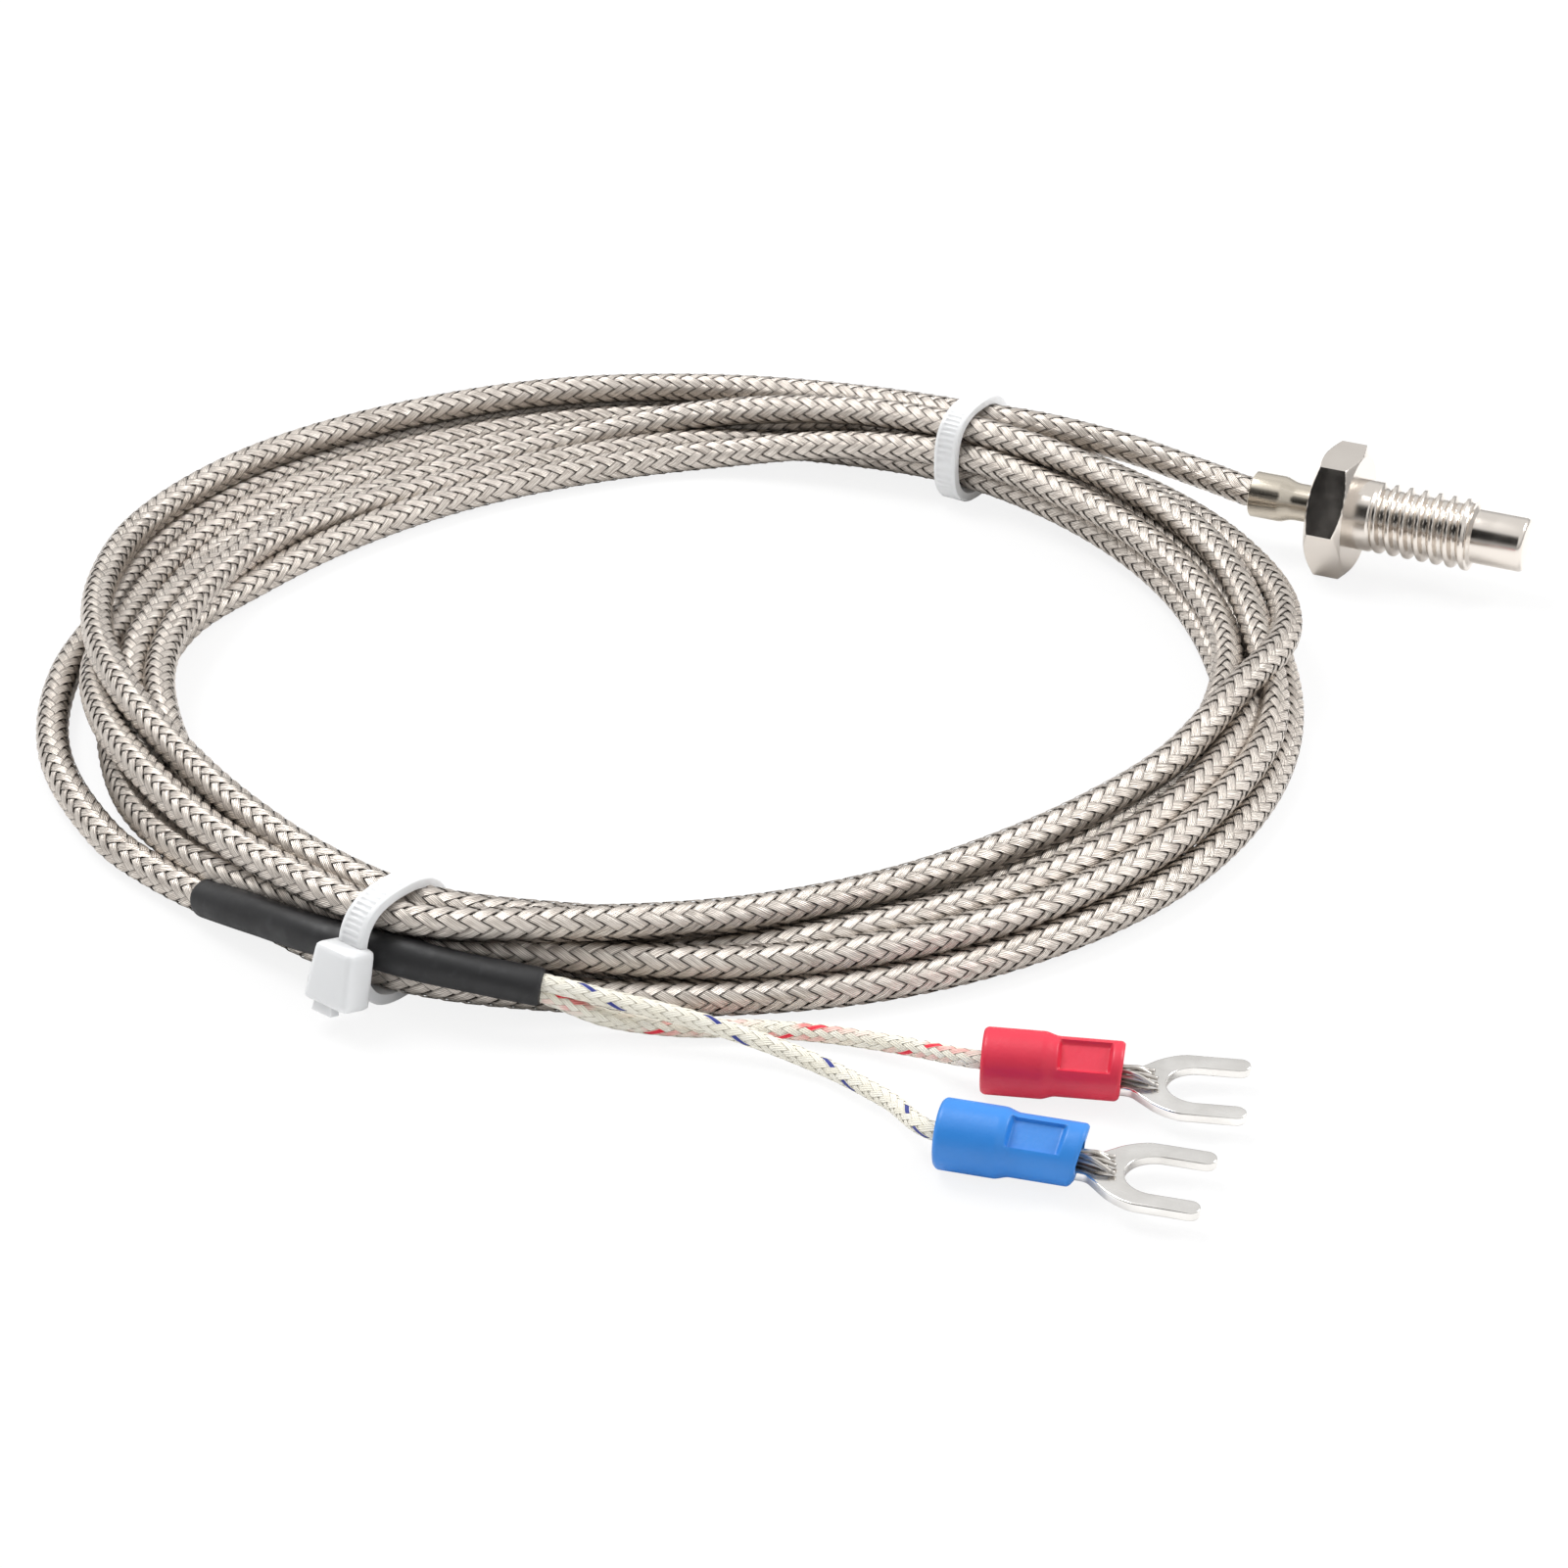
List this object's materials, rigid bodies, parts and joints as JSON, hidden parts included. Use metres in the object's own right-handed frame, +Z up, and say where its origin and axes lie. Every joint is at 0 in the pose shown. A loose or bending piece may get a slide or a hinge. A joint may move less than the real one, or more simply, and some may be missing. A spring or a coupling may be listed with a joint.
{
  "type": "thermocouple probe",
  "caption": "Screw-in thermocouple probe with a coiled, tied, metal-braided cable that ends in insulated fork terminals.",
  "frame": {"origin": "middle of the probe head's footprint, on the plane that the part lies on", "axes": "+X along the head's axis towards its tip, +Z up; the cable leaves the head towards -X and lies on the -Y side"},
  "size_m": [0.1151, 0.1072, 0.01],
  "materials": {
    "plated_body": "polished nickel plating",
    "sleeve_tube": "bright drawn tube",
    "steel_braid": "braided fine wire",
    "positive_alloy": "drawn wire",
    "negative_alloy": "drawn wire",
    "ceramic": "fired ceramic",
    "heat_shrink": "satin black",
    "nylon": "translucent natural",
    "red_vinyl": "satin",
    "blue_vinyl": "satin",
    "tinned_copper": "bright tin plating",
    "bare_strands": "twisted bare strands",
    "lead_braid": "braided glass fibre yarn"
  },
  "bodies": {
    "root": {"threaded_body": "plated_body", "crimp_sleeve": "sleeve_tube", "positive_wire": "positive_alloy", "negative_wire": "negative_alloy", "junction_bead": "positive_alloy", "twin_bore_insulator": "ceramic", "cable_coil": "steel_braid", "probe_tail_cable": "steel_braid", "outer_loop_cable": "steel_braid", "heat_shrink_tube": "heat_shrink", "front_cable_tie": "nylon", "back_cable_tie": "nylon", "red_insulating_sleeve": "red_vinyl", "blue_insulating_sleeve": "blue_vinyl", "red_fork_terminal": "tinned_copper", "blue_fork_terminal": "tinned_copper", "red_wire_strands": "bare_strands", "blue_wire_strands": "bare_strands", "red_tracer_lead": "lead_braid", "blue_tracer_lead": "lead_braid"}
  },
  "joints": []
}
